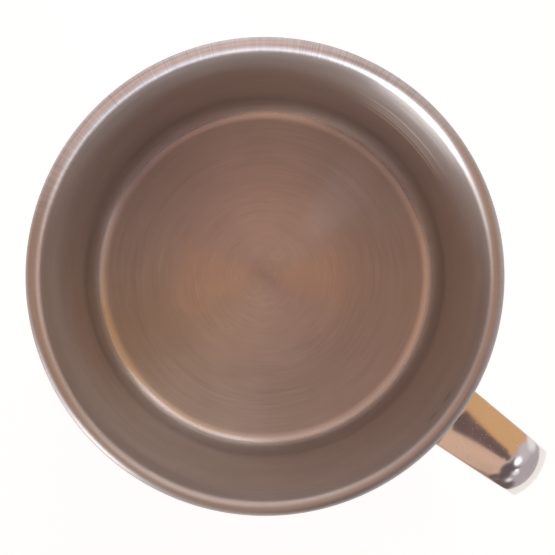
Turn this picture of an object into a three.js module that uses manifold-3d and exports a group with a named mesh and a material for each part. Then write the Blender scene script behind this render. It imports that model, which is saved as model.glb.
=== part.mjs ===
// A single-walled steel mug: a deep-drawn cup with a rolled rim, and a crowned strap handle whose two
// feet are spot-welded to the wall. Millimetres, +Z up. The origin is the centre of the flat base, and
// the handle points along +X.
import * as THREE from "three";
import { mergeVertices } from "three/addons/utils/BufferGeometryUtils.js";
import Module from "manifold-3d";

// The cup
const RIM_DIAMETER = 90; // over the rolled rim
const CUP_HEIGHT = 80;
const CUP_SHEET = 0.6; // thickness of the floor and wall
const RIM_BEAD = 2.7; // outside diameter of the rim's curl
const CURL_GAP = 0.35; // left open between the curl's edge and the wall
const CORNER_RADIUS = 5.3; // inside, from floor to wall

// The handle's strap
const STRAP_SHEET = 1.2;
const GRIP_WIDTH = 11.3;
const FOOT_WIDTH = 13.8;
const FOOT_LENGTH = 9; // the flat stretch of each foot
const FOOT_CORNER = 3.5; // rounding of the feet's free corners
const FOOT_BEND = 3; // bend between a foot and its run, on the strap's outer face
const CROWN_RADIUS = 10.8; // across the grip, on the outer face
const CROWN_LENGTH = 30; // along the strap, from a foot's flat to the full crown
const TAPER_LENGTH = 24; // along the strap, from a foot's flat to the grip's width
const HANDLE_REACH = 25.2; // from the wall to the strap's outermost face
const SHOULDER_RADIUS = 11; // first part of the upper outer bend
const SHOULDER_TURN = 40; // degrees of that bend before it tightens
const SHOULDER_TIP = 5; // radius of the rest of that bend
const HEEL_RADIUS = 10; // lower outer bend, where its run leaves room for it
const HEEL_INSET = 5; // how far the heel stands back from the shoulder
const FOOT_BELOW_RIM = 1.6; // from the rim's curl down to the upper foot
const FOOT_ABOVE_CORNER = 3.1; // from the floor's round corner up to the lower foot

// The spot welds, two on each foot
const WELD_DIAMETER = 3.4;
const WELD_PITCH = 5;
const WELD_DIMPLE = 0.25; // how far a weld's face is sunk in its foot
const WELD_EDGE = 0.3; // bevel round a weld's face

// Clearances
const SEAT_GAP = 0.3; // between the feet and the wall
const WELD_GAP = 0.1; // between a weld and the metal round it

// Fineness of the facets
const CUP_SEGMENTS = 72;
const CURL_STEPS = 6; // half the facets of one arc of the profile
const WELD_SEGMENTS = 24;
const STRAP_STEP = 1.6; // along the strap
const STRAP_FACETS = 8; // across the strap
const CORNER_STEPS = 5; // round a foot's corner

// Places that follow from the sizes above
const wallInner = RIM_DIAMETER / 2 - RIM_BEAD;
const wallOuter = wallInner + CUP_SHEET;
const footFace = wallOuter + SEAT_GAP + STRAP_SHEET;
const upperFootEnd = CUP_HEIGHT - RIM_BEAD - FOOT_BELOW_RIM;
const lowerFootEnd = CUP_SHEET + CORNER_RADIUS + FOOT_ABOVE_CORNER;
const topRun = upperFootEnd - FOOT_LENGTH - FOOT_BEND;
const lowRun = lowerFootEnd + FOOT_LENGTH + FOOT_BEND;
const weldHeights = {
  upper: upperFootEnd - FOOT_LENGTH / 2,
  lower: lowerFootEnd + FOOT_LENGTH / 2,
};
const weldTurn = Math.asin(WELD_PITCH / 2 / footFace);
const weldSides = { left: weldTurn, right: -weldTurn };

const steel = {
  brushed: { color: 0x9c8475, roughness: 0.4, metalness: 1 },
  polished: { color: 0xcbb5a6, roughness: 0.1, metalness: 1 },
  welded: { color: 0x8b7a6f, roughness: 0.5, metalness: 1 },
};

const wasm = await Module();
wasm.setup();

// A closed geometry as a solid that can be joined and cut
function solidOf(geometry) {
  const bare = new THREE.BufferGeometry();
  bare.setAttribute("position", geometry.getAttribute("position"));
  bare.setIndex(geometry.index);
  const merged = mergeVertices(bare, 1e-4);
  return new wasm.Manifold(
    new wasm.Mesh({
      numProp: 3,
      vertProperties: merged.getAttribute("position").array,
      triVerts: new Uint32Array(merged.index.array),
    }),
  );
}

function geometryOf(solid) {
  const { vertProperties, triVerts } = solid.getMesh();
  const geometry = new THREE.BufferGeometry();
  geometry.setAttribute("position", new THREE.BufferAttribute(vertProperties, 3));
  geometry.setIndex(new THREE.BufferAttribute(triVerts, 1));
  geometry.computeVertexNormals();
  return geometry;
}

function steelMesh(name, geometry, finish) {
  const mesh = new THREE.Mesh(geometry, new THREE.MeshStandardMaterial(finish));
  mesh.name = name;
  return mesh;
}

// The drawn cup: a sheet profile from the middle of the floor out to the curl and back along the outside
function cupBody() {
  const cornerX = wallInner - CORNER_RADIUS;
  const cornerY = CUP_SHEET + CORNER_RADIUS;
  const beadX = RIM_DIAMETER / 2 - RIM_BEAD / 2;
  const beadY = CUP_HEIGHT - RIM_BEAD / 2;
  const beadRadius = RIM_BEAD / 2;
  const curlEnd = -Math.acos((wallOuter + CURL_GAP - beadX) / beadRadius);
  const profile = new THREE.Path();
  profile.moveTo(0, CUP_SHEET);
  profile.lineTo(cornerX, CUP_SHEET);
  profile.absarc(cornerX, cornerY, CORNER_RADIUS, -Math.PI / 2, 0, false);
  profile.lineTo(wallInner, beadY);
  profile.absarc(beadX, beadY, beadRadius, Math.PI, curlEnd, true);
  profile.absarc(beadX, beadY, beadRadius - CUP_SHEET, curlEnd, Math.PI, false);
  profile.lineTo(wallOuter, cornerY);
  profile.absarc(cornerX, cornerY, CORNER_RADIUS + CUP_SHEET, 0, -Math.PI / 2, true);
  profile.lineTo(0, 0);
  const geometry = new THREE.LatheGeometry(profile.getPoints(CURL_STEPS).reverse(), CUP_SEGMENTS);
  geometry.rotateX(Math.PI / 2);
  return steelMesh("cup_body", geometry, steel.brushed);
}

// The middle of the strap's outer face, seen from the side, from the upper foot's end to the lower's.
// The shoulder bends in two arcs, and the grip is the straight line that touches its tip and the heel.
function strapPath() {
  const bendX = footFace + FOOT_BEND;
  const tipStart = THREE.MathUtils.degToRad(90 - SHOULDER_TURN);
  const tipX = wallOuter + HANDLE_REACH - SHOULDER_TIP;
  const shoulderX = tipX - (SHOULDER_RADIUS - SHOULDER_TIP) * Math.cos(tipStart);
  const shoulderY = topRun - SHOULDER_RADIUS;
  const tipY = shoulderY + (SHOULDER_RADIUS - SHOULDER_TIP) * Math.sin(tipStart);
  const heelReach = wallOuter + HANDLE_REACH - HEEL_INSET;
  const heelRadius = Math.min(HEEL_RADIUS, heelReach - bendX);
  const heelX = heelReach - heelRadius;
  const heelY = lowRun + heelRadius;
  const span = Math.hypot(heelX - tipX, tipY - heelY);
  const slant = Math.atan2(tipY - heelY, heelX - tipX);
  const lean = slant - Math.acos((SHOULDER_TIP - heelRadius) / span);
  const path = new THREE.Path();
  path.moveTo(footFace, upperFootEnd);
  path.lineTo(footFace, topRun + FOOT_BEND);
  path.absarc(bendX, topRun + FOOT_BEND, FOOT_BEND, Math.PI, 1.5 * Math.PI, false);
  path.absarc(shoulderX, shoulderY, SHOULDER_RADIUS, Math.PI / 2, tipStart, true);
  path.absarc(tipX, tipY, SHOULDER_TIP, tipStart, -lean, true);
  path.absarc(heelX, heelY, heelRadius, -lean, -Math.PI / 2, true);
  path.absarc(bendX, lowRun - FOOT_BEND, FOOT_BEND, Math.PI / 2, Math.PI, false);
  path.lineTo(footFace, lowerFootEnd);
  return path;
}

// Distances along the strap at which it has a section: close together round the feet's corners
function strapStations(length) {
  const corner = [];
  for (let i = 0; i < CORNER_STEPS; i++) {
    corner.push(FOOT_CORNER * (1 - Math.cos((i / CORNER_STEPS) * (Math.PI / 2))));
  }
  const between = Math.round((length - 2 * FOOT_CORNER) / STRAP_STEP);
  const stations = [...corner];
  for (let i = 0; i <= between; i++) {
    stations.push(FOOT_CORNER + ((length - 2 * FOOT_CORNER) * i) / between);
  }
  return stations.concat(corner.map((d) => length - d).reverse());
}

// One closed section: the outer face from side to side, then the inner face back
function strapSection(path, length, station) {
  const fromEnd = Math.min(station, length - station);
  const taper = THREE.MathUtils.clamp((fromEnd - FOOT_LENGTH) / TAPER_LENGTH, 0, 1);
  const bulge = THREE.MathUtils.smoothstep(fromEnd, FOOT_LENGTH, FOOT_LENGTH + CROWN_LENGTH);
  const crown = 1 / THREE.MathUtils.lerp(1 / footFace, 1 / CROWN_RADIUS, bulge);
  const short = Math.max(FOOT_CORNER - fromEnd, 0);
  const rounding = FOOT_CORNER - Math.sqrt(FOOT_CORNER ** 2 - short ** 2);
  const halfWidth = THREE.MathUtils.lerp(FOOT_WIDTH, GRIP_WIDTH, taper) / 2 - rounding;
  const spread = Math.asin(halfWidth / crown);
  const middle = path.getPointAt(station / length);
  const tangent = path.getTangentAt(station / length);
  const outward = new THREE.Vector2(-tangent.y, tangent.x);
  const hub = middle.clone().addScaledVector(outward, -crown);
  const section = [];
  const addPoint = (radius, share) => {
    const swing = spread * share;
    const point = hub.clone().addScaledVector(outward, radius * Math.cos(swing));
    section.push(new THREE.Vector3(point.x, radius * Math.sin(swing), point.y));
  };
  for (let i = 0; i <= STRAP_FACETS; i++) {
    addPoint(crown, (2 * i) / STRAP_FACETS - 1);
  }
  for (let i = STRAP_FACETS; i >= 0; i--) {
    addPoint(crown - STRAP_SHEET, (2 * i) / STRAP_FACETS - 1);
  }
  return section;
}

// A closed skin over a row of sections that have the same number of points
function loft(sections) {
  const count = sections[0].length;
  const index = [];
  const quad = (a, b, c, d) => index.push(a, b, c, a, c, d);
  for (let row = 0; row + 1 < sections.length; row++) {
    for (let i = 0; i < count; i++) {
      const next = (i + 1) % count;
      const here = row * count;
      quad(here + i, here + count + i, here + count + next, here + next);
    }
  }
  const last = (sections.length - 1) * count;
  for (let i = 0; i + 1 < count / 2; i++) {
    quad(i, i + 1, count - 2 - i, count - 1 - i);
    quad(last + count - 1 - i, last + count - 2 - i, last + i + 1, last + i);
  }
  const geometry = new THREE.BufferGeometry().setFromPoints(sections.flat());
  geometry.setIndex(index);
  return geometry;
}

// A solid to cut the hole that one weld fills
function weldHole(turn, height) {
  const radius = WELD_DIAMETER / 2 + WELD_GAP;
  const length = STRAP_SHEET * 3;
  const geometry = new THREE.CylinderGeometry(radius, radius, length, WELD_SEGMENTS);
  geometry.rotateZ(-Math.PI / 2);
  geometry.translate(footFace - STRAP_SHEET / 2, 0, height);
  geometry.rotateZ(turn);
  return solidOf(geometry);
}

function handleStrap() {
  const path = strapPath();
  const length = path.getLength();
  const sections = strapStations(length).map((station) => strapSection(path, length, station));
  let strap = solidOf(loft(sections));
  for (const height of Object.values(weldHeights)) {
    for (const turn of Object.values(weldSides)) {
      strap = strap.subtract(weldHole(turn, height));
    }
  }
  return steelMesh("handle_strap", geometryOf(strap), steel.polished);
}

// One weld: a button that fills its hole in the foot and ends just short of the wall
function spotWeld(name, turn, height) {
  const radius = WELD_DIAMETER / 2;
  const length = SEAT_GAP - WELD_GAP + STRAP_SHEET - WELD_DIMPLE;
  const profile = [
    new THREE.Vector2(0, 0),
    new THREE.Vector2(radius, 0),
    new THREE.Vector2(radius, length - WELD_EDGE),
    new THREE.Vector2(radius - WELD_EDGE, length),
    new THREE.Vector2(0, length),
  ];
  const geometry = new THREE.LatheGeometry(profile, WELD_SEGMENTS);
  geometry.rotateZ(-Math.PI / 2);
  const weld = steelMesh(name, geometry, steel.welded);
  weld.position.set(wallOuter + WELD_GAP, 0, height);
  const spoke = new THREE.Group();
  spoke.rotation.z = turn;
  spoke.add(weld);
  return spoke;
}

const mug = new THREE.Group();
mug.add(cupBody(), handleStrap());
for (const [level, height] of Object.entries(weldHeights)) {
  for (const [side, turn] of Object.entries(weldSides)) {
    mug.add(spotWeld(`${level}_weld_${side}`, turn, height));
  }
}

export default mug;
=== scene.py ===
"""A single-walled steel mug, dressed around its CAD solids.

Metres, in the solids' frame: +Z up, the origin at the centre of the base, the handle along +X.
"""

import math

import bpy
from mathutils import Matrix, Vector


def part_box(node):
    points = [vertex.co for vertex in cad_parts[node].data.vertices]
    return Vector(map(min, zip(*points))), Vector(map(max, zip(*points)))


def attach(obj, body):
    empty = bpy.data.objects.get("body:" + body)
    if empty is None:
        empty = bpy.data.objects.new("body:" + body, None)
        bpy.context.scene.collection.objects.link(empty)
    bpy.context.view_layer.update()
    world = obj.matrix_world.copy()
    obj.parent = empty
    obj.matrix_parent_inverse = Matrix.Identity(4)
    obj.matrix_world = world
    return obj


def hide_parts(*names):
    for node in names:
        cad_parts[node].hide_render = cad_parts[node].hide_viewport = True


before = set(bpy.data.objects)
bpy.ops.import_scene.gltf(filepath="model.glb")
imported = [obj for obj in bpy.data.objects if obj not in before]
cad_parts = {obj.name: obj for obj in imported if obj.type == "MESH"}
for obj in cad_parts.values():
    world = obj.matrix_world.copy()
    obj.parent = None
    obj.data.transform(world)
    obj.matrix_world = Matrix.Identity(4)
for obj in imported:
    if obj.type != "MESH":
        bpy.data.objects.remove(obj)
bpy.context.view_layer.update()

MM = 0.001

# Sizes of the sheet metal, as the solids have them
CUP_SHEET = 0.6 * MM
RIM_BEAD = 2.7 * MM
CURL_GAP = 0.35 * MM
CORNER_RADIUS = 5.3 * MM
STRAP_SHEET = 1.2 * MM
GRIP_WIDTH = 11.3 * MM
FOOT_WIDTH = 13.8 * MM
FOOT_LENGTH = 9 * MM
FOOT_CORNER = 3.5 * MM
FOOT_BEND = 3 * MM
CROWN_RADIUS = 10.8 * MM
CROWN_LENGTH = 30 * MM
TAPER_LENGTH = 24 * MM
SHOULDER_RADIUS = 11 * MM
SHOULDER_TURN = math.radians(40)
SHOULDER_TIP = 5 * MM
HEEL_RADIUS = 10 * MM
HEEL_INSET = 5 * MM
SEAT_GAP = 0.3 * MM
WELD_GAP = 0.1 * MM

# Details that only the looks have
BEAD_BULGE = 0.2 * MM  # of the rim's bead, into the mouth
STRAP_EDGE = 0.4 * MM  # rounding of the strap's cut edges
THINNEST_EDGE = 0.02 * MM  # of that rounding, at the strap's ends
DIMPLE_DEPTH = 0.14 * MM  # pressed into the feet round each weld
DIMPLE_SLOPE = 1.2 * MM  # width of a dimple's sloping side
WELD_RECESS = 0.2 * MM  # of the strap's face under a weld, below the dimple
RECESS_SLOPE = 0.4 * MM
WELD_PROFILE = (
    # share of the weld's radius, share of its height
    (0, 0),
    (0.9, 0),
    (1, 0.1),
    (1, 0.75),
    (0.99, 0.93),
    (0.95, 0.985),
    (0.88, 1),
    (0.7, 0.99),
    (0.5, 0.975),
    (0.25, 0.965),
    (0, 0.96),
)

# Steps of the meshes
CUP_SEGMENTS = 256
FLOOR_STEPS = 24
CORNER_STEPS = 20
WALL_STEPS = 24
BEAD_STEPS = 44
CURL_STEPS = 28
TIP_STEPS = 6
BASE_STEPS = 16
WELD_SEGMENTS = 48
STRAP_ACROSS = 56
STRAP_EDGE_STEPS = 5
STRAP_END_STEPS = 4
FOOT_STEP = 0.2 * MM
GRIP_STEP = 0.5 * MM

# Places from the frame
cup_low, cup_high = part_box("cup_body")
strap_low, strap_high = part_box("handle_strap")
RIM_RADIUS = cup_high.x
CUP_HEIGHT = cup_high.z
WALL_INNER = RIM_RADIUS - RIM_BEAD
WALL_OUTER = WALL_INNER + CUP_SHEET
FOOT_FACE = WALL_OUTER + SEAT_GAP + STRAP_SHEET
UPPER_FOOT_END = strap_high.z
LOWER_FOOT_END = strap_low.z
TOP_RUN = UPPER_FOOT_END - FOOT_LENGTH - FOOT_BEND
LOW_RUN = LOWER_FOOT_END + FOOT_LENGTH + FOOT_BEND
REACH = strap_high.x
WELDS = ("upper_weld_left", "upper_weld_right", "lower_weld_left", "lower_weld_right")

# The camera looks straight down the cup's axis
PICTURE_SIDE = 555  # pixels
AXIS_PIXEL = (265.0, 276.4)  # where the cup's axis shows
RIM_PIXELS = 239.5  # radius at which the rim shows
HANDLE_TURN = math.radians(36.6)  # of the handle, clockwise from the picture's right
CAMERA_ABOVE_RIM = 0.290
SENSOR = 36.0  # millimetres
NEAREST_SEEN = 0.01


# Meshes

def new_piece(name, vertices, faces, material):
    """A smooth mesh that rides on the mug's one body."""
    mesh = bpy.data.meshes.new(name)
    mesh.from_pydata(vertices, [], faces)
    mesh.polygons.foreach_set("use_smooth", [True] * len(mesh.polygons))
    mesh.materials.append(material)
    piece = bpy.data.objects.new(name, mesh)
    bpy.context.scene.collection.objects.link(piece)
    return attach(piece, "root")


def arc(centre, radius, start, end, steps):
    """Points on an arc of a profile, angles in degrees."""
    points = []
    for i in range(steps + 1):
        angle = math.radians(start + (end - start) * i / steps)
        points.append((centre[0] + radius * math.cos(angle), centre[1] + radius * math.sin(angle)))
    return points


def line(start, end, steps):
    """Points on a straight stretch of a profile, without its two ends."""
    return [
        (start[0] + (end[0] - start[0]) * i / steps, start[1] + (end[1] - start[1]) * i / steps)
        for i in range(1, steps)
    ]


def revolve(profile, segments):
    """Vertices and faces of a skin turned about Z. The profile starts and ends on the axis."""
    rings = profile[1:-1]
    vertices = [(0, 0, profile[0][1])]
    for radius, height in rings:
        for i in range(segments):
            turn = 2 * math.pi * i / segments
            vertices.append((radius * math.cos(turn), radius * math.sin(turn), height))
    vertices.append((0, 0, profile[-1][1]))
    faces = []
    end = 1 + (len(rings) - 1) * segments
    for i in range(segments):
        after = (i + 1) % segments
        faces.append((0, 1 + i, 1 + after))
        faces.append((len(vertices) - 1, end + after, end + i))
        for ring in range(len(rings) - 1):
            here = 1 + ring * segments
            there = here + segments
            faces.append((here + i, there + i, there + after, here + after))
    return vertices, faces


def bulged(points, middle, bulge, radius):
    """Points of a round bead, with the side towards the axis drawn out by a bulge."""
    stretch = 1 + bulge / radius
    return [(middle + (x - middle) * (stretch if x < middle else 1), z) for x, z in points]


def make_cup(material):
    """The drawn cup: floor, round corner, wall, rolled rim, and the outside back to the base."""
    corner = (WALL_INNER - CORNER_RADIUS, CUP_SHEET + CORNER_RADIUS)
    bead = (RIM_RADIUS - RIM_BEAD / 2, CUP_HEIGHT - RIM_BEAD / 2)
    outer = RIM_BEAD / 2
    middle = outer - CUP_SHEET / 2
    tip = math.degrees(CUP_SHEET / 2 / middle)
    curl_end = tip - math.degrees(math.acos((WALL_OUTER + CURL_GAP - bead[0]) / outer))
    tip_angle = math.radians(curl_end)
    tip_centre = (bead[0] + middle * math.cos(tip_angle), bead[1] + middle * math.sin(tip_angle))
    profile = [(0, CUP_SHEET)]
    profile += line((0, CUP_SHEET), (corner[0], CUP_SHEET), FLOOR_STEPS)
    profile += arc(corner, CORNER_RADIUS, -90, 0, CORNER_STEPS)
    profile += line((WALL_INNER, corner[1]), (WALL_INNER - BEAD_BULGE, bead[1]), WALL_STEPS)
    profile += bulged(arc(bead, outer, 180, curl_end, BEAD_STEPS), bead[0], BEAD_BULGE, outer)
    profile += arc(tip_centre, CUP_SHEET / 2, curl_end, curl_end - 180, TIP_STEPS)[1:-1]
    profile += arc(bead, outer - CUP_SHEET, curl_end, 180, CURL_STEPS)
    profile += line((WALL_OUTER, bead[1]), (WALL_OUTER, corner[1]), WALL_STEPS)
    profile += arc(corner, CORNER_RADIUS + CUP_SHEET, 0, -90, CORNER_STEPS)
    profile += line((corner[0], 0), (0, 0), BASE_STEPS)
    profile.append((0, 0))
    cup = new_piece("cup", *revolve(profile, CUP_SEGMENTS), material)
    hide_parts("cup_body")
    return cup


def strap_route():
    """The strap's straights and bends from the upper foot to the lower: pairs of length and turn."""
    bend_x = FOOT_FACE + FOOT_BEND
    quarter = math.pi / 2
    step = SHOULDER_RADIUS - SHOULDER_TIP
    shoulder_x = REACH - SHOULDER_TIP - step * math.sin(SHOULDER_TURN)
    tip = Vector((REACH - SHOULDER_TIP, TOP_RUN - SHOULDER_RADIUS + step * math.cos(SHOULDER_TURN)))
    heel = Vector((REACH - HEEL_INSET - HEEL_RADIUS, LOW_RUN + HEEL_RADIUS))
    span = (heel - tip).length
    slant = math.atan2(tip.y - heel.y, heel.x - tip.x)
    lean = slant - math.acos((SHOULDER_TIP - HEEL_RADIUS) / span)
    tip_turn = quarter + lean - SHOULDER_TURN
    return [
        (FOOT_LENGTH, 0),
        (FOOT_BEND * quarter, quarter),
        (shoulder_x - bend_x, 0),
        (SHOULDER_RADIUS * SHOULDER_TURN, -SHOULDER_TURN),
        (SHOULDER_TIP * tip_turn, -tip_turn),
        (math.sqrt(span**2 - (SHOULDER_TIP - HEEL_RADIUS) ** 2), 0),
        (HEEL_RADIUS * (quarter - lean), lean - quarter),
        (heel.x - bend_x, 0),
        (FOOT_BEND * quarter, quarter),
        (FOOT_LENGTH, 0),
    ]


ROUTE = strap_route()
STRAP_LENGTH = sum(length for length, turn in ROUTE)


def strap_at(distance):
    """The middle of the strap's outer face at a distance along it, and its outward direction."""
    place = Vector((FOOT_FACE, UPPER_FOOT_END))
    heading = -math.pi / 2
    for length, turn in ROUTE:
        part = min(distance, length)
        angle = turn * part / length
        chord = part if turn == 0 else 2 * length / turn * math.sin(angle / 2)
        towards = heading + angle / 2
        place += chord * Vector((math.cos(towards), math.sin(towards)))
        heading += angle
        distance -= part
        if distance <= 0:
            break
    return place, Vector((-math.sin(heading), math.cos(heading)))


def rounded_strip(half_width, half_height, radius):
    """A strip's outline with round corners, anticlockwise from its upper right corner."""
    inner_x, inner_y = half_width - radius, half_height - radius
    points = []
    for centre_x, centre_y, start in (
        (inner_x, inner_y, 0),
        (-inner_x, inner_y, 90),
        (-inner_x, -inner_y, 180),
        (inner_x, -inner_y, 270),
    ):
        points += arc((centre_x, centre_y), radius, start, start + 90, STRAP_EDGE_STEPS)
        if start in (0, 180):
            level = points[-1][1]
            points += line((centre_x, level), (-centre_x, level), STRAP_ACROSS)
    return points


def weld_centre(node):
    """A weld's centre, on the face of its foot."""
    low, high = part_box(node)
    middle = (low + high) / 2
    spoke = Vector((middle.x, middle.y, 0)).normalized()
    return spoke * FOOT_FACE + Vector((0, 0, middle.z))


def weld_radius():
    """The radius that all the welds have."""
    low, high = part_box(WELDS[0])
    return (high.z - low.z) / 2


def smooth_step(share):
    """A share held between 0 and 1, level at both ends."""
    share = max(0.0, min(1.0, share))
    return share * share * (3 - 2 * share)


def dimple(point, centres):
    """How deep the strap's outer face is pressed in at a point."""
    inside = weld_radius() - min((point - centre).length for centre in centres)
    pressed = DIMPLE_DEPTH * smooth_step(1 + inside / DIMPLE_SLOPE)
    return pressed + WELD_RECESS * smooth_step(inside / RECESS_SLOPE)


def strap_section(distance, centres):
    """One section of the strap: a rounded strip bent over its crown."""
    from_end = min(distance, STRAP_LENGTH - distance)
    taper = max(0.0, min(1.0, (from_end - FOOT_LENGTH) / TAPER_LENGTH))
    bulge = smooth_step((from_end - FOOT_LENGTH) / CROWN_LENGTH)
    crown = 1 / ((1 - bulge) / FOOT_FACE + bulge / CROWN_RADIUS)
    short = max(FOOT_CORNER - from_end, 0)
    edge_short = max(STRAP_EDGE - from_end, 0)
    edge_inset = STRAP_EDGE - math.sqrt(STRAP_EDGE**2 - edge_short**2)
    rounding = FOOT_CORNER - math.sqrt(FOOT_CORNER**2 - short**2)
    half_width = (FOOT_WIDTH + (GRIP_WIDTH - FOOT_WIDTH) * taper) / 2 - rounding
    spread = math.asin(half_width / crown)
    half_height = STRAP_SHEET / 2 - edge_inset
    edge = max(STRAP_EDGE - edge_inset, THINNEST_EDGE)
    place, outward = strap_at(distance)
    hub = place - crown * outward
    section = []
    for along, height in rounded_strip(crown * spread - edge_inset, half_height, edge):
        swing = -along / crown
        radius = crown - STRAP_SHEET / 2 + height
        flat = hub + radius * math.cos(swing) * outward
        point = Vector((flat.x, radius * math.sin(swing), flat.y))
        if height > 0 and from_end < FOOT_LENGTH:
            inward = dimple(point, centres)
            point -= inward * Vector((outward.x, 0, outward.y))
        section.append(point)
    return section


def strap_stations():
    """Distances along the strap that have a section: close on the feet, wider between."""
    quarter = math.pi / 2
    ends = [STRAP_EDGE * (1 - math.cos(quarter * i / STRAP_END_STEPS)) for i in range(STRAP_END_STEPS)]
    foot = FOOT_LENGTH - STRAP_EDGE
    foot_steps = round(foot / FOOT_STEP)
    ends += [STRAP_EDGE + foot * i / foot_steps for i in range(foot_steps)]
    middle = STRAP_LENGTH - 2 * FOOT_LENGTH
    middle_steps = round(middle / GRIP_STEP)
    stations = ends + [FOOT_LENGTH + middle * i / middle_steps for i in range(middle_steps + 1)]
    return stations + [STRAP_LENGTH - distance for distance in reversed(ends)]


def make_strap(material):
    """The bent and crowned strap of the handle."""
    centres = [weld_centre(node) for node in WELDS]
    sections = [strap_section(distance, centres) for distance in strap_stations()]
    count = len(sections[0])
    vertices = [point for section in sections for point in section]
    faces = []
    for row in range(len(sections) - 1):
        here = row * count
        for i in range(count):
            after = (i + 1) % count
            faces.append((here + i, here + count + i, here + count + after, here + after))
    faces.append(tuple(range(count)))
    faces.append(tuple(reversed(range(len(vertices) - count, len(vertices)))))
    strap = new_piece("handle", vertices, faces, material)
    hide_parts("handle_strap")
    return strap


def make_weld(node, material):
    """One spot weld: a button with a pressed, slightly dished face."""
    low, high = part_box(node)
    middle = (low + high) / 2
    turn = math.atan2(middle.y, middle.x)
    seat = WALL_OUTER + WELD_GAP
    height = FOOT_FACE - DIMPLE_DEPTH - seat
    profile = [(across * weld_radius(), up * height) for across, up in WELD_PROFILE]
    vertices, faces = revolve(profile, WELD_SEGMENTS)
    place = (
        Matrix.Rotation(turn, 4, "Z")
        @ Matrix.Translation((seat, 0, middle.z))
        @ Matrix.Rotation(math.pi / 2, 4, "Y")
    )
    vertices = [place @ Vector(point) for point in vertices]
    faces = [tuple(reversed(face)) for face in faces]
    weld = new_piece(node.replace("weld", "spot"), vertices, faces, material)
    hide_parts(node)
    return weld


# Shader nodes

def add_node(tree, kind, inputs=None, **settings):
    """Adds a node. Each input is a constant, or an output socket to link."""
    node = tree.nodes.new(kind)
    for name, value in settings.items():
        setattr(node, name, value)
    for key, value in (inputs or {}).items():
        if isinstance(value, bpy.types.NodeSocket):
            tree.links.new(value, node.inputs[key])
        else:
            node.inputs[key].default_value = value
    return node


def calculate(tree, operation, *values):
    """The output of a math node on constants and sockets."""
    return add_node(tree, "ShaderNodeMath", dict(enumerate(values)), operation=operation).outputs[0]


def total(tree, first, *others):
    """The sum of constants and sockets."""
    for value in others:
        first = calculate(tree, "ADD", first, value)
    return first


def product(tree, first, *others):
    """The product of constants and sockets."""
    for value in others:
        first = calculate(tree, "MULTIPLY", first, value)
    return first


def remap(tree, value, low, high, to_low=0.0, to_high=1.0):
    """A value carried smoothly from one range to another, and held at its ends."""
    inputs = {"Value": value, "From Min": low, "From Max": high, "To Min": to_low, "To Max": to_high}
    return add_node(tree, "ShaderNodeMapRange", inputs, interpolation_type="SMOOTHSTEP").outputs[0]


def ramp_over(tree, value, stops):
    """A smooth number along a value, through pairs of value and number."""
    result = stops[0][1]
    for (low, before), (high, after) in zip(stops, stops[1:]):
        result = total(tree, result, remap(tree, value, low, high, 0.0, after - before))
    return result


def noise(tree, vector, detail=2.0):
    """Noise from 0 to 1 whose grain is one unit of the vector."""
    inputs = {"Vector": vector, "Scale": 1.0, "Detail": detail, "Roughness": 0.5}
    return add_node(tree, "ShaderNodeTexNoise", inputs).outputs[0]


def scaled(tree, vector, scale):
    """A vector times a number."""
    return add_node(tree, "ShaderNodeVectorMath", {0: vector, 3: scale}, operation="SCALE").outputs[0]


def dot(tree, vector, direction):
    """How far a vector reaches along a direction."""
    node = add_node(tree, "ShaderNodeVectorMath", {0: vector, 1: direction}, operation="DOT_PRODUCT")
    return node.outputs["Value"]


def blend_colour(tree, amount, first, second, blend_type="MIX"):
    """Two colours mixed by an amount."""
    node = add_node(tree, "ShaderNodeMix", data_type="RGBA", blend_type=blend_type)
    for socket, value in zip((node.inputs[0], node.inputs[6], node.inputs[7]), (amount, first, second)):
        if isinstance(value, bpy.types.NodeSocket):
            tree.links.new(value, socket)
        else:
            socket.default_value = value
    return node.outputs[2]


def cosines(plain_to, gone_at):
    """The edges of a soft disc as cosines, from two angles in degrees."""
    return math.cos(math.radians(gone_at)), math.cos(math.radians(plain_to))


def new_material(name):
    """An empty material, and its tree."""
    material = bpy.data.materials.new(name)
    material.use_nodes = True
    tree = material.node_tree
    tree.nodes.clear()
    return material, tree


# The cup's satin steel

# Degrees round from the handle: middle of a side, plain to, gone at
GROUND_SIDE = (135, 45, 75)  # of the rim, ground across, with a painted highlight and a painted cool reflection
GROUND_ELSEWHERE = 0.15
RIM_HIGHLIGHT_SIDE = (150, 15, 50)  # of the rim, where a highlight is painted on the bead
STREAK_SIDE = (82, 5, 19)  # of the wall, with coarse turning marks, painted glints in them and a painted sheen at the wall's top
WARM_REFLECTION_SIDE = (36.6, 6, 34)  # of the floor's painted warm reflection fans, and the side opposite
PALE_REFLECTION_SIDE = (82, 3, 15)  # of the floor's painted pale reflection fan

# Marks drawn out round the axis: changes round the cup, width, detail
FINE_MARKS = (2.4, 0.45 * MM, 3.0)
BROAD_MARKS = (1.6, 2.2 * MM, 2.0)
MARK_PATCHES = (1.1, 9 * MM, 2.0)
STREAK_MARKS = (0.3, 2.6 * MM, 1.0)
TOP_MARKS = (0.3, 1.5 * MM, 1.0)
FINE_SHARE = 0.6  # of the fine marks, next to the broad
MARK_CONTRAST = 2.2
SCRATCH_WIDTH = 0.2 * MM  # of the scratches across the rim
SMUDGE_GRAIN = 90.0  # per metre

# Levels of noise between which a mark sets in, and the faintest that it gets
PATCH_LEVELS = (0.35, 0.65)
FAINTEST_PATCH = 0.3
STREAK_LEVELS = (0.47, 0.6)
TOP_LEVELS = (0.35, 0.6)
FAINTEST_TOP = 0.5
SMUDGE_LEVELS = (0.35, 0.7)

# Where a finish starts and is full
RIM_HEIGHTS = (CUP_HEIGHT - 2.2 * MM, CUP_HEIGHT - 1.2 * MM)
OUTER_RADII = (WALL_INNER + 0.2 * MM, WALL_INNER + 0.4 * MM)
BEAD_HEIGHTS = (CUP_HEIGHT - 2.9 * MM, CUP_HEIGHT - 2.5 * MM)

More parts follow.
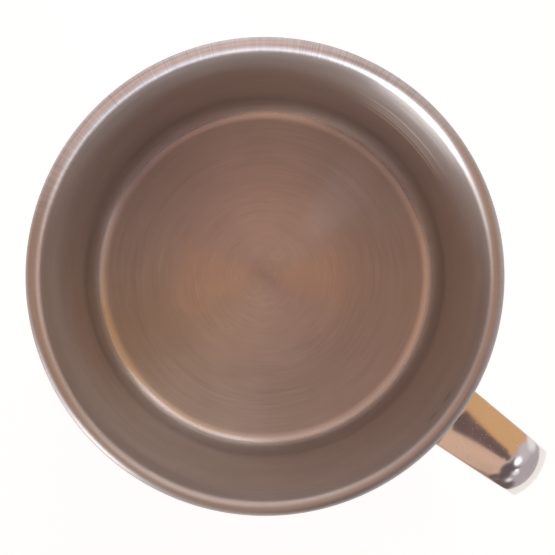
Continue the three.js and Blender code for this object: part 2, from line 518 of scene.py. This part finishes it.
# A run is radius plus height, so it grows out along the floor and up the wall
FLOOR_EDGE = WALL_INNER - CORNER_RADIUS
WALL_START = WALL_INNER + CORNER_RADIUS
WALL_END = WALL_INNER + CUP_HEIGHT

STREAK_ZONE = (
    # run, share
    (WALL_END - 46 * MM, 0.0),
    (WALL_END - 42 * MM, 1.0),
    (WALL_END - 24 * MM, 1.0),
    (WALL_END - 18 * MM, 0.5),
    (WALL_END - 12 * MM, 0.5),
    (WALL_END - 9 * MM, 0.0),
)
# The top of the wall on the streaked side, with a painted sheen and scuffs
TOP_BAND = (
    # run, share
    (WALL_END - 11.5 * MM, 0.0),
    (WALL_END - 9 * MM, 1.0),
    (WALL_END - 1.2 * MM, 1.0),
    (WALL_END - 0.2 * MM, 0.0),
)
# A painted highlight across the bead, on one stretch of the rim
RIM_HIGHLIGHT_BAND = (
    # radius, share
    (RIM_RADIUS - 2.3 * MM, 0.0),
    (RIM_RADIUS - 1.8 * MM, 1.0),
    (RIM_RADIUS - 1.2 * MM, 1.0),
    (RIM_RADIUS - 0.8 * MM, 0.0),
)
# Painted warm reflection fans on the floor, on two opposite sides
WARM_REFLECTION_FANS = (
    # run, share
    (3 * MM, 0.0),
    (9 * MM, 1.0),
    (17 * MM, 1.0),
    (25 * MM, 0.0),
)
# A painted pale reflection fan on one side of the floor
PALE_REFLECTION_FAN = (
    # run, share
    (12 * MM, 0.0),
    (20 * MM, 1.0),
    (28 * MM, 1.0),
    (36 * MM, 0.0),
)
SCUFFS = (
    # run, share of the scuffed shine
    (WALL_END - 24 * MM, 0.0),
    (WALL_END - 4 * MM, 0.5),
    (WALL_END - 0.3 * MM, 0.5),
    (WALL_END + 0.8 * MM, 0.1),
)
# Tone along the cup, partly painted shade set to the reflections' levels: darker at the floor's centre
# and towards the top of the wall; the dulled bead is partly wear
PAINTED_SHADE_AND_WEAR = (
    # run, share of the full tone
    (0.6 * MM, 0.84),
    (3.5 * MM, 0.93),
    (6 * MM, 0.99),
    (17 * MM, 0.98),
    (26 * MM, 0.92),
    (FLOOR_EDGE, 0.96),
    (FLOOR_EDGE + 3 * MM, 1.0),
    (WALL_START + 8 * MM, 0.97),
    (WALL_END - 20 * MM, 0.92),
    (WALL_END - 4 * MM, 0.85),
    (WALL_END - 1.6 * MM, 0.9),
    (WALL_END - 0.2 * MM, 0.86),
    (WALL_END + 0.9 * MM, 0.73),
)
SATIN = (
    # run, roughness
    (FLOOR_EDGE + 0.4 * MM, 0.42),
    (FLOOR_EDGE + 3 * MM, 0.26),
    (FLOOR_EDGE + 5.2 * MM, 0.35),
    (FLOOR_EDGE + 8 * MM, 0.44),
    (WALL_START + 12 * MM, 0.42),
    (WALL_END - 12 * MM, 0.48),
    (WALL_END - 0.3 * MM, 0.47),
    (WALL_END + 0.8 * MM, 0.4),
)
OUTER_SATIN = 0.52
MARK_ROUGHNESS = 0.12
SCUFFED_ROUGHNESS = 0.58
GROUND_SCUFF = 0.8
TOP_BAND_SCUFF = 0.9

# What each mark adds to the tone; the ground, rim highlight, top sheen and streak tones are painted light
SCRATCH_TONE = 0.7
GROUND_HIGHLIGHT_TONE = 0.14
RIM_HIGHLIGHT_TONE = 0.35
TOP_SHEEN_TONE = 0.22
STREAK_GLINT_TONE = 0.45
WELD_SHADOW = 0.72  # tone left where an upper weld shows through the wall
WELD_SHADOW_EDGE = (0.5 * MM, 1.9 * MM)

DULL_STEEL = (0.575, 0.53, 0.505, 1)
BRIGHT_STEEL = (0.745, 0.69, 0.66, 1)
SMUDGE = (0.96, 0.95, 0.945, 1)
# Painted reflection colours: cool on the rim's ground side, warm and pale in the floor's fans
COOL_REFLECTION_TINT = (0.96, 1.0, 1.07, 1)
WARM_REFLECTION_TINT = (1.06, 1.02, 0.97, 1)
PALE_REFLECTION_TINT = (1.05, 1.08, 1.13, 1)
WHITE = (1, 1, 1, 1)

RING_SHINE = 0.8  # how far the shine is drawn out across the rings
QUARTER_TURN = 0.25
RING_RELIEF = 0.008 * MM
RING_RELIEF_SHARE = 0.5
STREAK_RELIEF = 0.25 * MM
SCRATCH_RELIEF = 0.03  # as a share of the streaks'


def turned_places(tree):
    """Places round the cup's axis. The spoke points out from the axis and has two level parts."""
    place = add_node(tree, "ShaderNodeTexCoord").outputs["Object"]
    parts = add_node(tree, "ShaderNodeSeparateXYZ", {0: place}).outputs
    flat = add_node(tree, "ShaderNodeCombineXYZ", {0: parts[0], 1: parts[1]}).outputs[0]
    radius = add_node(tree, "ShaderNodeVectorMath", {0: flat}, operation="LENGTH").outputs["Value"]
    spoke = add_node(tree, "ShaderNodeVectorMath", {0: flat}, operation="NORMALIZE").outputs[0]
    spoke_parts = add_node(tree, "ShaderNodeSeparateXYZ", {0: spoke}).outputs
    return {
        "place": place,
        "height": parts[2],
        "radius": radius,
        "run": total(tree, radius, parts[2]),
        "spoke": spoke,
        "across": spoke_parts[0],
        "along": spoke_parts[1],
    }


def ring_marks(tree, turned, round_scale, width, detail):
    """Noise drawn out into arcs about the axis: marks of a width, longer for a smaller round scale."""
    axes = {
        0: product(tree, turned["across"], round_scale),
        1: product(tree, turned["along"], round_scale),
        2: calculate(tree, "DIVIDE", turned["run"], width),
    }
    return noise(tree, add_node(tree, "ShaderNodeCombineXYZ", axes).outputs[0], detail)


def on_side(tree, turned, side, elsewhere=0.0, both=False):
    """A share that is 1 round one side of the cup, or round two opposite sides."""
    middle, plain_to, gone_at = side
    middle = math.radians(middle)
    near = dot(tree, turned["spoke"], (math.cos(middle), math.sin(middle), 0))
    if both:
        near = calculate(tree, "ABSOLUTE", near)
    return remap(tree, near, *cosines(plain_to, gone_at), elsewhere, 1.0)


def turning_marks(tree, turned):
    """Fine and broad rings, about 0 on average and stronger in some patches."""
    fine = product(tree, ring_marks(tree, turned, *FINE_MARKS), FINE_SHARE)
    broad = product(tree, ring_marks(tree, turned, *BROAD_MARKS), 1 - FINE_SHARE)
    patches = ring_marks(tree, turned, *MARK_PATCHES)
    strength = remap(tree, patches, *PATCH_LEVELS, FAINTEST_PATCH, 1.0)
    return product(tree, calculate(tree, "SUBTRACT", total(tree, fine, broad), 0.5), strength)


def outer_side(tree, turned):
    """A share that is 1 on the outer side of the wall and on the base, without the bead."""
    beyond = remap(tree, turned["radius"], *OUTER_RADII)
    below = remap(tree, turned["height"], *BEAD_HEIGHTS, 1.0, 0.0)
    return product(tree, beyond, below)


def cup_finish(tree, turned):
    """Where the cup's finish changes and where light is painted: its rings, its rim, its outer side and
    one side of its wall.
    """
    marks = turning_marks(tree, turned)
    rim = remap(tree, turned["height"], *RIM_HEIGHTS)
    ground = product(tree, rim, on_side(tree, turned, GROUND_SIDE, GROUND_ELSEWHERE))
    scratches = noise(tree, scaled(tree, turned["spoke"], RIM_RADIUS / SCRATCH_WIDTH), detail=1.0)
    outside = outer_side(tree, turned)
    inside = calculate(tree, "SUBTRACT", 1.0, outside)
    streaked = product(tree, on_side(tree, turned, STREAK_SIDE), inside)
    streaks = remap(tree, ring_marks(tree, turned, *STREAK_MARKS), *STREAK_LEVELS)
    top_sheen_band = remap(tree, ring_marks(tree, turned, *TOP_MARKS), *TOP_LEVELS, FAINTEST_TOP, 1.0)
    rim_highlight = ramp_over(tree, turned["radius"], RIM_HIGHLIGHT_BAND)
    painted_pale_side = on_side(tree, turned, RIM_HIGHLIGHT_SIDE)
    return {
        "marks": marks,
        "level": total(tree, 0.5, product(tree, marks, MARK_CONTRAST)),
        "ground": ground,
        "scratches": product(tree, calculate(tree, "SUBTRACT", scratches, 0.5), ground),
        "rim_highlight": product(tree, rim_highlight, painted_pale_side, rim),
        "outside": outside,
        "streaks": product(tree, streaks, ramp_over(tree, turned["run"], STREAK_ZONE), streaked),
        "top_sheen_band": product(tree, top_sheen_band, ramp_over(tree, turned["run"], TOP_BAND), streaked),
    }


def weld_shadows(tree, turned):
    """A share that drops where the upper welds show through the inner wall."""
    share = 1.0
    for node in WELDS[:2]:
        centre = weld_centre(node)
        inward = WALL_INNER / FOOT_FACE
        mark = Vector((centre.x * inward, centre.y * inward, centre.z))
        away = add_node(tree, "ShaderNodeVectorMath", {0: turned["place"], 1: mark}, operation="DISTANCE")
        shadow = remap(tree, away.outputs["Value"], *WELD_SHADOW_EDGE, WELD_SHADOW, 1.0)
        share = product(tree, share, shadow)
    return share


def cup_colour(tree, turned, finish):
    """Warm steel toned by its rings and smudges, with painted shade along the cup that is partly wear,
    painted highlights on the rim and wall, a painted cool reflection on the rim and faint painted
    reflection fans on the floor.
    """
    colour = blend_colour(tree, finish["level"], DULL_STEEL, BRIGHT_STEEL)
    cloud = noise(tree, scaled(tree, turned["place"], SMUDGE_GRAIN))
    smudges = blend_colour(tree, remap(tree, cloud, *SMUDGE_LEVELS), SMUDGE, WHITE)
    colour = blend_colour(tree, 1.0, colour, smudges, "MULTIPLY")
    tone = total(
        tree,
        # painted shade along the cup, partly wear
        ramp_over(tree, turned["run"], PAINTED_SHADE_AND_WEAR),
        product(tree, finish["scratches"], SCRATCH_TONE),
        # painted highlight on the rim's ground side
        product(tree, finish["ground"], GROUND_HIGHLIGHT_TONE),
        # painted highlight on the rim's palest stretch
        product(tree, finish["rim_highlight"], RIM_HIGHLIGHT_TONE),
        # painted sheen at the top of the wall
        product(tree, finish["top_sheen_band"], TOP_SHEEN_TONE),
        # painted glints in the wall's streaks
        product(tree, finish["streaks"], STREAK_GLINT_TONE),
    )
    tone = product(tree, tone, weld_shadows(tree, turned))
    shade = add_node(tree, "ShaderNodeCombineXYZ", {0: tone, 1: tone, 2: tone}).outputs[0]
    colour = blend_colour(tree, 1.0, colour, shade, "MULTIPLY")
    # painted cool reflection on the rim's ground side
    colour = blend_colour(tree, finish["ground"], colour, COOL_REFLECTION_TINT, "MULTIPLY")
    # painted warm reflection fans on the floor
    warm_reflection_side = on_side(tree, turned, WARM_REFLECTION_SIDE, both=True)
    warm_reflection_fans = product(tree, ramp_over(tree, turned["run"], WARM_REFLECTION_FANS), warm_reflection_side)
    colour = blend_colour(tree, warm_reflection_fans, colour, WARM_REFLECTION_TINT, "MULTIPLY")
    # painted pale reflection fan on the floor
    painted_pale_side = on_side(tree, turned, PALE_REFLECTION_SIDE)
    pale_reflection_fan = product(tree, ramp_over(tree, turned["run"], PALE_REFLECTION_FAN), painted_pale_side)
    return blend_colour(tree, pale_reflection_fan, colour, PALE_REFLECTION_TINT, "MULTIPLY")


def cup_roughness(tree, turned, finish):
    """Satin, shinier in the round corner and duller on the outer side."""
    inner = ramp_over(tree, turned["run"], SATIN)
    satin = add_node(tree, "ShaderNodeMix", {0: finish["outside"], 2: inner, 3: OUTER_SATIN}).outputs[0]
    return total(tree, satin, product(tree, finish["marks"], MARK_ROUGHNESS))


def cup_relief(tree, finish):
    """The fine relief of the rings, the wall's streaks and the rim's scratches."""
    inputs = {"Height": finish["level"], "Strength": RING_RELIEF_SHARE, "Distance": RING_RELIEF}
    rings = add_node(tree, "ShaderNodeBump", inputs).outputs[0]
    scratches = product(tree, finish["scratches"], SCRATCH_RELIEF)
    height = calculate(tree, "SUBTRACT", scratches, finish["streaks"])
    inputs = {"Height": height, "Strength": 1.0, "Distance": STREAK_RELIEF, "Normal": rings}
    return add_node(tree, "ShaderNodeBump", inputs).outputs[0]


def brushed_steel():
    """Satin steel turned in rings, mixed with steel that scatters light all round where it is scuffed."""
    material, tree = new_material("brushed_steel")
    turned = turned_places(tree)
    finish = cup_finish(tree, turned)
    steel = {
        "Base Color": cup_colour(tree, turned, finish),
        "Metallic": 1.0,
        "Normal": cup_relief(tree, finish),
    }
    rings = {
        "Roughness": cup_roughness(tree, turned, finish),
        "Anisotropic": RING_SHINE,
        "Anisotropic Rotation": QUARTER_TURN,
        "Tangent": add_node(tree, "ShaderNodeTangent", direction_type="RADIAL", axis="Z").outputs[0],
    }
    ringed = add_node(tree, "ShaderNodeBsdfPrincipled", {**steel, **rings})
    scuffed = add_node(tree, "ShaderNodeBsdfPrincipled", {**steel, "Roughness": SCUFFED_ROUGHNESS})
    share = ramp_over(tree, turned["run"], SCUFFS)
    share = calculate(tree, "MAXIMUM", share, product(tree, finish["ground"], GROUND_SCUFF))
    share = calculate(tree, "MAXIMUM", share, product(tree, finish["top_sheen_band"], TOP_BAND_SCUFF))
    mix = add_node(tree, "ShaderNodeMixShader", {0: share, 1: ringed.outputs[0], 2: scuffed.outputs[0]})
    add_node(tree, "ShaderNodeOutputMaterial", {0: mix.outputs[0]})
    return material


# The handle's steel and the welds'

STRAP_SCUFF_GRAIN = (60.0, 3000.0, 60.0)  # per metre, so the scuffs run along the strap
STRAP_CLOUD_GRAIN = 220.0
CLOUD_LEVELS = (0.3, 0.7)
SPECK_SPACING = 0.42 * MM
SPECK_EDGE = (0.1, 0.24)  # in spacings
SPECK_PATCH_GRAIN = 500.0
SPECK_PATCH_LEVELS = (0.4, 0.58)
STRAP_TONES = ((0.77, 0.735, 0.71, 1), (0.82, 0.795, 0.775, 1))
STRAP_ROUGHNESS = (0.09, 0.12)
SCUFF_ROUGHNESS = 0.03
SPECK_ROUGHNESS = 0.3
SCUFF_RELIEF = 0.0003 * MM
SCUFF_RELIEF_SHARE = 0.25

WELD_GRAIN = 2200.0
WELD_CLOUD_GRAIN = 500.0
WELD_TONES = ((0.47, 0.42, 0.38, 1), (0.58, 0.53, 0.5, 1))
WELD_ROUGHNESS = (0.32, 0.5)
WELD_RELIEF = 0.02 * MM
WELD_RELIEF_SHARE = 0.4


def finish_steel(tree, colour, roughness, relief):
    """Ends a plain steel: its colour, roughness and relief go to the output."""
    bump = add_node(tree, "ShaderNodeBump", relief).outputs[0]
    inputs = {"Base Color": colour, "Metallic": 1.0, "Roughness": roughness, "Normal": bump}
    shader = add_node(tree, "ShaderNodeBsdfPrincipled", inputs)
    add_node(tree, "ShaderNodeOutputMaterial", {0: shader.outputs[0]})


def polished_steel():
    """Mirror-polished steel with fine scuffs along the strap and a few pin-prick specks."""
    material, tree = new_material("polished_steel")
    place = add_node(tree, "ShaderNodeTexCoord").outputs["Object"]
    drawn_out = {0: place, 1: STRAP_SCUFF_GRAIN}
    drawn_out = add_node(tree, "ShaderNodeVectorMath", drawn_out, operation="MULTIPLY").outputs[0]
    scuffs = noise(tree, drawn_out, detail=3.0)
    cloud = noise(tree, scaled(tree, place, STRAP_CLOUD_GRAIN))
    cells = add_node(tree, "ShaderNodeTexVoronoi", {"Vector": place, "Scale": 1 / SPECK_SPACING})
    specks = remap(tree, cells.outputs["Distance"], *SPECK_EDGE, 1.0, 0.0)
    patches = noise(tree, scaled(tree, place, SPECK_PATCH_GRAIN))
    patches = remap(tree, patches, *SPECK_PATCH_LEVELS)
    roughness = total(
        tree,
        remap(tree, cloud, *CLOUD_LEVELS, *STRAP_ROUGHNESS),
        product(tree, scuffs, SCUFF_ROUGHNESS),
        product(tree, specks, patches, SPECK_ROUGHNESS),
    )
    relief = {"Height": scuffs, "Strength": SCUFF_RELIEF_SHARE, "Distance": SCUFF_RELIEF}
    finish_steel(tree, blend_colour(tree, cloud, *STRAP_TONES), roughness, relief)
    return material


def weld_steel():
    """The dull pressed face of a spot weld, with a faint heat tint."""
    material, tree = new_material("weld_steel")
    place = add_node(tree, "ShaderNodeTexCoord").outputs["Object"]
    grain = noise(tree, scaled(tree, place, WELD_GRAIN))
    cloud = noise(tree, scaled(tree, place, WELD_CLOUD_GRAIN))
    roughness = remap(tree, grain, *CLOUD_LEVELS, *WELD_ROUGHNESS)
    relief = {"Height": grain, "Strength": WELD_RELIEF_SHARE, "Distance": WELD_RELIEF}
    finish_steel(tree, blend_colour(tree, cloud, *WELD_TONES), roughness, relief)
    return material


# The table and the room

TABLE_HALF = 8.0
TABLE_TONE = (0.95, 0.95, 0.95, 1)
TABLE_GLOW = 1.3
TABLE_GLOW_SHARE = 0.65  # the rest is matt, and keeps the mug's shadow

SKY = (
    # degrees from overhead, colour
    (0, (0.65, 0.42, 0.365)),
    (25, (0.66, 0.435, 0.375)),
    (45, (0.72, 0.485, 0.41)),
    (72, (0.60, 0.47, 0.42)),
    (84, (0.62, 0.52, 0.47)),
    (88, (0.97, 0.96, 0.95)),
    (90, (1.0, 1.0, 1.0)),
)

PEACH = (0.90, 0.66, 0.57)
UMBER = (0.50, 0.33, 0.25)
APRICOT = (1.0, 0.60, 0.41)
TAN = (0.60, 0.38, 0.27)
ORANGE = (0.72, 0.42, 0.21)
PINK = (0.75, 0.50, 0.38)
BRIGHT = (2.2, 2.1, 2.1)
PALE = (0.95, 0.92, 0.93)
GREY = (0.50, 0.44, 0.47)
LILAC = (0.64, 0.58, 0.61)
DARK = (0.15, 0.11, 0.12)
BROWN = (0.17, 0.12, 0.11)
DARK_BROWN = (0.18, 0.12, 0.12)
DARK_TAN = (0.16, 0.105, 0.10)

ROOM = (
    # degrees round from the handle, degrees from overhead, plain to, gone at, colour
    (127, 46, 12, 34, PEACH),
    (-143, 40, 10, 20, UMBER),
    (-143, 17, 8, 14, APRICOT),
    (-143, 70, 10, 22, TAN),
    (64, 29, 20, 26, ORANGE),
    (-62, 30, 21, 27, PINK),
    (112, 46, 7, 13, BRIGHT),
    (88, 46, 7, 13, BRIGHT),
    (-100, 66, 12, 26, PALE),
    (0, 66, 34, 48, GREY),
    (28, 48, 4, 20, LILAC),
    (60, 41, 3, 12, ORANGE),
    (54, 52, 3, 9, ORANGE),
    (44, 68, 4, 18, PALE),
    (-50, 35, 5, 12, PINK),
    (-3, 18, 2.5, 7, DARK),
    (-6, 40, 9, 14, DARK),
    (-27, 35, 7, 13, DARK),
    (-36, 46, 6, 14, DARK),
    (-57, 46, 4, 10, BROWN),
    (-48, 62, 5, 14, BROWN),
    (-38, 76, 7, 17, BROWN),
    (-98, 34, 13, 20, DARK_BROWN),
    (4, 6, 8.0, 9.8, DARK_TAN),
)


def make_floor():
    """A plain white table, white to the camera and in reflections, with the mug's shadow kept."""
    material, tree = new_material("white_table")
    paths = add_node(tree, "ShaderNodeLightPath").outputs
    seen = calculate(tree, "MAXIMUM", paths["Is Camera Ray"], paths["Is Glossy Ray"])
    seen = calculate(tree, "MAXIMUM", seen, paths["Is Transmission Ray"])
    matt = add_node(tree, "ShaderNodeBsdfDiffuse", {"Color": TABLE_TONE})
    glow = add_node(tree, "ShaderNodeEmission", {"Color": WHITE, "Strength": TABLE_GLOW})
    share = product(tree, seen, TABLE_GLOW_SHARE)
    mix = add_node(tree, "ShaderNodeMixShader", {0: share, 1: matt.outputs[0], 2: glow.outputs[0]})
    add_node(tree, "ShaderNodeOutputMaterial", {0: mix.outputs[0]})
    mesh = bpy.data.meshes.new("table")
    sides = ((-1, -1), (1, -1), (1, 1), (-1, 1))
    mesh.from_pydata([(x * TABLE_HALF, y * TABLE_HALF, 0) for x, y in sides], [], [(0, 1, 2, 3)])
    mesh.materials.append(material)
    table = bpy.data.objects.new("table", mesh)
    bpy.context.scene.collection.objects.link(table)


def room_direction(around, from_overhead):
    """A direction by its degrees round from the handle and degrees from overhead."""
    around, from_overhead = math.radians(around), math.radians(from_overhead)
    level = math.sin(from_overhead)
    return Vector((math.cos(around) * level, math.sin(around) * level, math.cos(from_overhead)))


def make_world():
    """A warm room round the table: a tan dome, white at its foot, with soft discs of colour on it."""
    world = bpy.data.worlds.new("room")
    bpy.context.scene.world = world
    world.use_nodes = True
    tree = world.node_tree
    tree.nodes.clear()
    direction = add_node(tree, "ShaderNodeTexCoord").outputs["Generated"]
    height = add_node(tree, "ShaderNodeSeparateXYZ", {0: direction}).outputs[2]
    angle = product(tree, calculate(tree, "ARCCOSINE", height), 2 / math.pi)
    ramp = add_node(tree, "ShaderNodeValToRGB", {0: angle})
    stops = ramp.color_ramp.elements
    for i, (degrees, colour) in enumerate(SKY):
        stop = stops[i] if i < len(stops) else stops.new(degrees / 90)
        stop.position = degrees / 90
        stop.color = (*colour, 1)
    shade = ramp.outputs[0]
    for around, from_overhead, plain_to, gone_at, colour in ROOM:
        near = dot(tree, direction, room_direction(around, from_overhead))
        share = remap(tree, near, *cosines(plain_to, gone_at))
        shade = blend_colour(tree, share, shade, (*colour, 1))
    background = add_node(tree, "ShaderNodeBackground", {"Color": shade, "Strength": 1.0})
    add_node(tree, "ShaderNodeOutputWorld", {0: background.outputs[0]})


# Lamps. All but the spots shine on the cup alone, and the spots on the handle alone

DAYLIGHT = (0.93, 0.96, 1.0)
LAMPLIGHT = (1.0, 0.58, 0.36)
WIDEST_SPREAD = 90  # degrees to either side

WINDOW_DISTANCE = 0.9
WINDOWS = (
    # name, degrees round from the handle, degrees above the table, size, brightness
    ("window", -108, 7, (0.6, 0.2), 3.8),
    ("high_window", -97, 22, (0.3, 0.25), 6.0),
    ("far_window", 140, 8, (0.7, 0.22), 2.0),
)

CARD_SIZE = (40 * MM, 34 * MM)
CARD_CLEARANCE = 2 * MM  # of its lower edge, over the rim
CARD_SPREAD = 45
CARDS = (
    # degrees round from the handle of the side of the rim that it shines on, brightness, colour
    (210, 1.4, LAMPLIGHT),
    (165, 4.0, DAYLIGHT),
    (123, 3.6, DAYLIGHT),
    (82, 4.5, DAYLIGHT),
)

LOW_LAMP_SIDE = -98  # degrees round from the handle
LOW_LAMP_RADIUS = 30 * MM
LOW_LAMP_ABOVE_RIM = 6 * MM
LOW_LAMP_DROP = 4  # degrees below level
LOW_LAMP_SIZE = (14 * MM, 6 * MM)
LOW_LAMP_SPREAD = 11.5
LOW_LAMP_BRIGHTNESS = 300
LOW_LAMP_COLOUR = (0.82, 0.93, 1.0)

GLOW_SIDE = 142  # degrees round from the handle, of the part of the floor that it shines on
GLOW_TILT = 6
GLOW_ABOVE_RIM = 90 * MM
GLOW_WIDTH = 40 * MM
GLOW_SPREAD = 11
GLOW_BRIGHTNESS = 1.7
GLOW_COLOUR = (1.0, 0.42, 0.33)

SHOULDER = Vector((REACH - 5.8 * MM, 0, TOP_RUN - 0.5 * MM))
SPOT_DISTANCE = 0.09
SPOTS = (
    # name, degrees round from the handle, degrees from overhead, width, brightness
    ("spot", 5, 40, 0.018, 1.2),
    ("spot_glow", 6, 41, 0.029, 0.6),
    ("small_spot", -11, 52, 0.011, 0.7),
    ("small_spot_glow", -15, 55, 0.02, 0.4),
    ("low_spot", -32, 64, 0.009, 0.6),
    ("low_spot_glow", -32, 64, 0.016, 0.35),
)


def make_lamp(name, piece, place, back, size, brightness, colour=DAYLIGHT, spread=WIDEST_SPREAD):
    """A flat lamp that shows its brightness in the one piece that it shines on.

    Its back faces along a direction. A size of two numbers makes a panel, and of one number a disc.
    """
    data = bpy.data.lights.new(name, "AREA")
    data.size = size[0]
    if len(size) == 2:
        data.shape = "RECTANGLE"
        data.size_y = size[1]
        area = size[0] * size[1]
    else:
        data.shape = "DISK"
        area = math.pi * size[0] ** 2 / 4
    data.color = colour
    data.energy = brightness * math.pi * area
    if spread < WIDEST_SPREAD:
        half = math.radians(spread)
        data.spread = 2 * half
        data.energy *= 1 - half / math.tan(half)
    lamp = bpy.data.objects.new(name, data)
    lamp.location = place
    lamp.rotation_euler = back.to_track_quat("Z", "Y").to_euler()
    lamp.visible_camera = False
    receivers = bpy.data.collections.new(name + "_receivers")
    receivers.objects.link(piece)
    lamp.light_linking.receiver_collection = receivers
    bpy.context.scene.collection.objects.link(lamp)


def make_windows(cup):
    """Soft windows round the table."""
    middle = Vector((0, 0, CUP_HEIGHT / 2))
    for name, around, above, size, brightness in WINDOWS:
        back = room_direction(around, 90 - above)
        make_lamp(name, cup, middle + back * WINDOW_DISTANCE, back, size, brightness)


def make_rim_lamps(cup):
    """Small lamps over the mouth: cards for the rim, one for the top of the wall, one for the floor."""
    place = Vector((0, 0, CUP_HEIGHT + CARD_CLEARANCE + CARD_SIZE[1] / 2))
    for around, brightness, colour in CARDS:
        back = room_direction(around + 180, 90)
        make_lamp("card", cup, place, back, CARD_SIZE, brightness, colour, CARD_SPREAD)
    place = room_direction(LOW_LAMP_SIDE, 90) * LOW_LAMP_RADIUS
    place.z = CUP_HEIGHT + LOW_LAMP_ABOVE_RIM
    back = room_direction(LOW_LAMP_SIDE, 90 - LOW_LAMP_DROP)
    looks = LOW_LAMP_BRIGHTNESS, LOW_LAMP_COLOUR, LOW_LAMP_SPREAD
    make_lamp("low_lamp", cup, place, back, LOW_LAMP_SIZE, *looks)
    place = Vector((0, 0, CUP_HEIGHT + GLOW_ABOVE_RIM))
    back = room_direction(GLOW_SIDE + 180, GLOW_TILT)
    make_lamp("glow", cup, place, back, (GLOW_WIDTH,), GLOW_BRIGHTNESS, GLOW_COLOUR, GLOW_SPREAD)


def make_spots(strap):
    """Small soft lamps by the handle's shoulder."""
    for name, around, from_overhead, width, brightness in SPOTS:
        back = room_direction(around, from_overhead)
        make_lamp(name, strap, SHOULDER + back * SPOT_DISTANCE, back, (width,), brightness)


def make_camera():
    """The photograph's camera: on the cup's axis, turned so that the handle lies lower right."""
    data = bpy.data.cameras.new("camera")
    focal_pixels = RIM_PIXELS * (CAMERA_ABOVE_RIM + RIM_BEAD / 2) / RIM_RADIUS
    data.sensor_width = SENSOR
    data.lens = focal_pixels * SENSOR / PICTURE_SIDE
    middle = PICTURE_SIDE / 2
    data.shift_x = (middle - AXIS_PIXEL[0]) / PICTURE_SIDE
    data.shift_y = (AXIS_PIXEL[1] - middle) / PICTURE_SIDE
    data.clip_start = NEAREST_SEEN
    camera = bpy.data.objects.new("camera", data)
    camera.location = (0, 0, CUP_HEIGHT + CAMERA_ABOVE_RIM)
    camera.rotation_euler = (0, 0, HANDLE_TURN)
    bpy.context.scene.collection.objects.link(camera)
    bpy.context.scene.camera = camera


bpy.context.scene.view_settings.view_transform = "Standard"
make_camera()
make_world()
make_floor()
cup_piece = make_cup(brushed_steel())
strap_piece = make_strap(polished_steel())
make_windows(cup_piece)
make_rim_lamps(cup_piece)
make_spots(strap_piece)
weld_material = weld_steel()
for weld_node in WELDS:
    make_weld(weld_node, weld_material)
